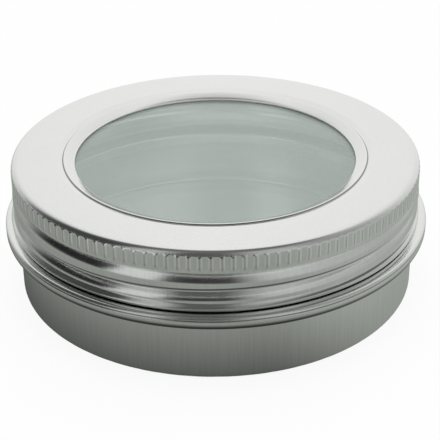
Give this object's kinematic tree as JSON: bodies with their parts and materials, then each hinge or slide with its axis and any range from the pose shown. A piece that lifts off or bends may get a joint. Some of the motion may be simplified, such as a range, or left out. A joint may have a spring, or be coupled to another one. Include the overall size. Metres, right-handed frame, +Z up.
{
  "type": "window lid tin",
  "caption": "Round aluminium screw-top tin: shallow cup with a stacking bead, and a knurled screw lid with a clear round window and foam seal.",
  "frame": {"origin": "centre of the underside of the base, on the surface it stands on", "axes": "+Z up along the axis of the tin; the picture looks along +Y, from the front, with +X to its right"},
  "size_m": [0.0834, 0.0834, 0.0267],
  "materials": {
    "base_aluminium": "satin, drawn lines up the wall",
    "lid_aluminium": "satin top, brighter rolled skirt",
    "clear_plastic": "clear, slightly hazy",
    "foam": "white closed-cell foam"
  },
  "bodies": {
    "base": {"base_cup": "base_aluminium"},
    "window": {"window_pane": "clear_plastic", "seal_ring": "foam"},
    "lid": {"lid_shell": "lid_aluminium"}
  },
  "joints": [
    {"name": "lid_rise", "type": "slide", "parent": "base", "child": "window", "axis": [0, 0, 1], "range_m": [0, 0.0141]},
    {"name": "lid_turn", "type": "hinge", "parent": "window", "child": "lid", "pos_m": [0, 0, 0.0267], "axis": [0, 0, 1], "range_deg": [0, 1440]}
  ],
  "couplings": [
    {"joint": "lid_rise", "follows": "lid_turn", "m_per_rad": 0.00055704}
  ]
}
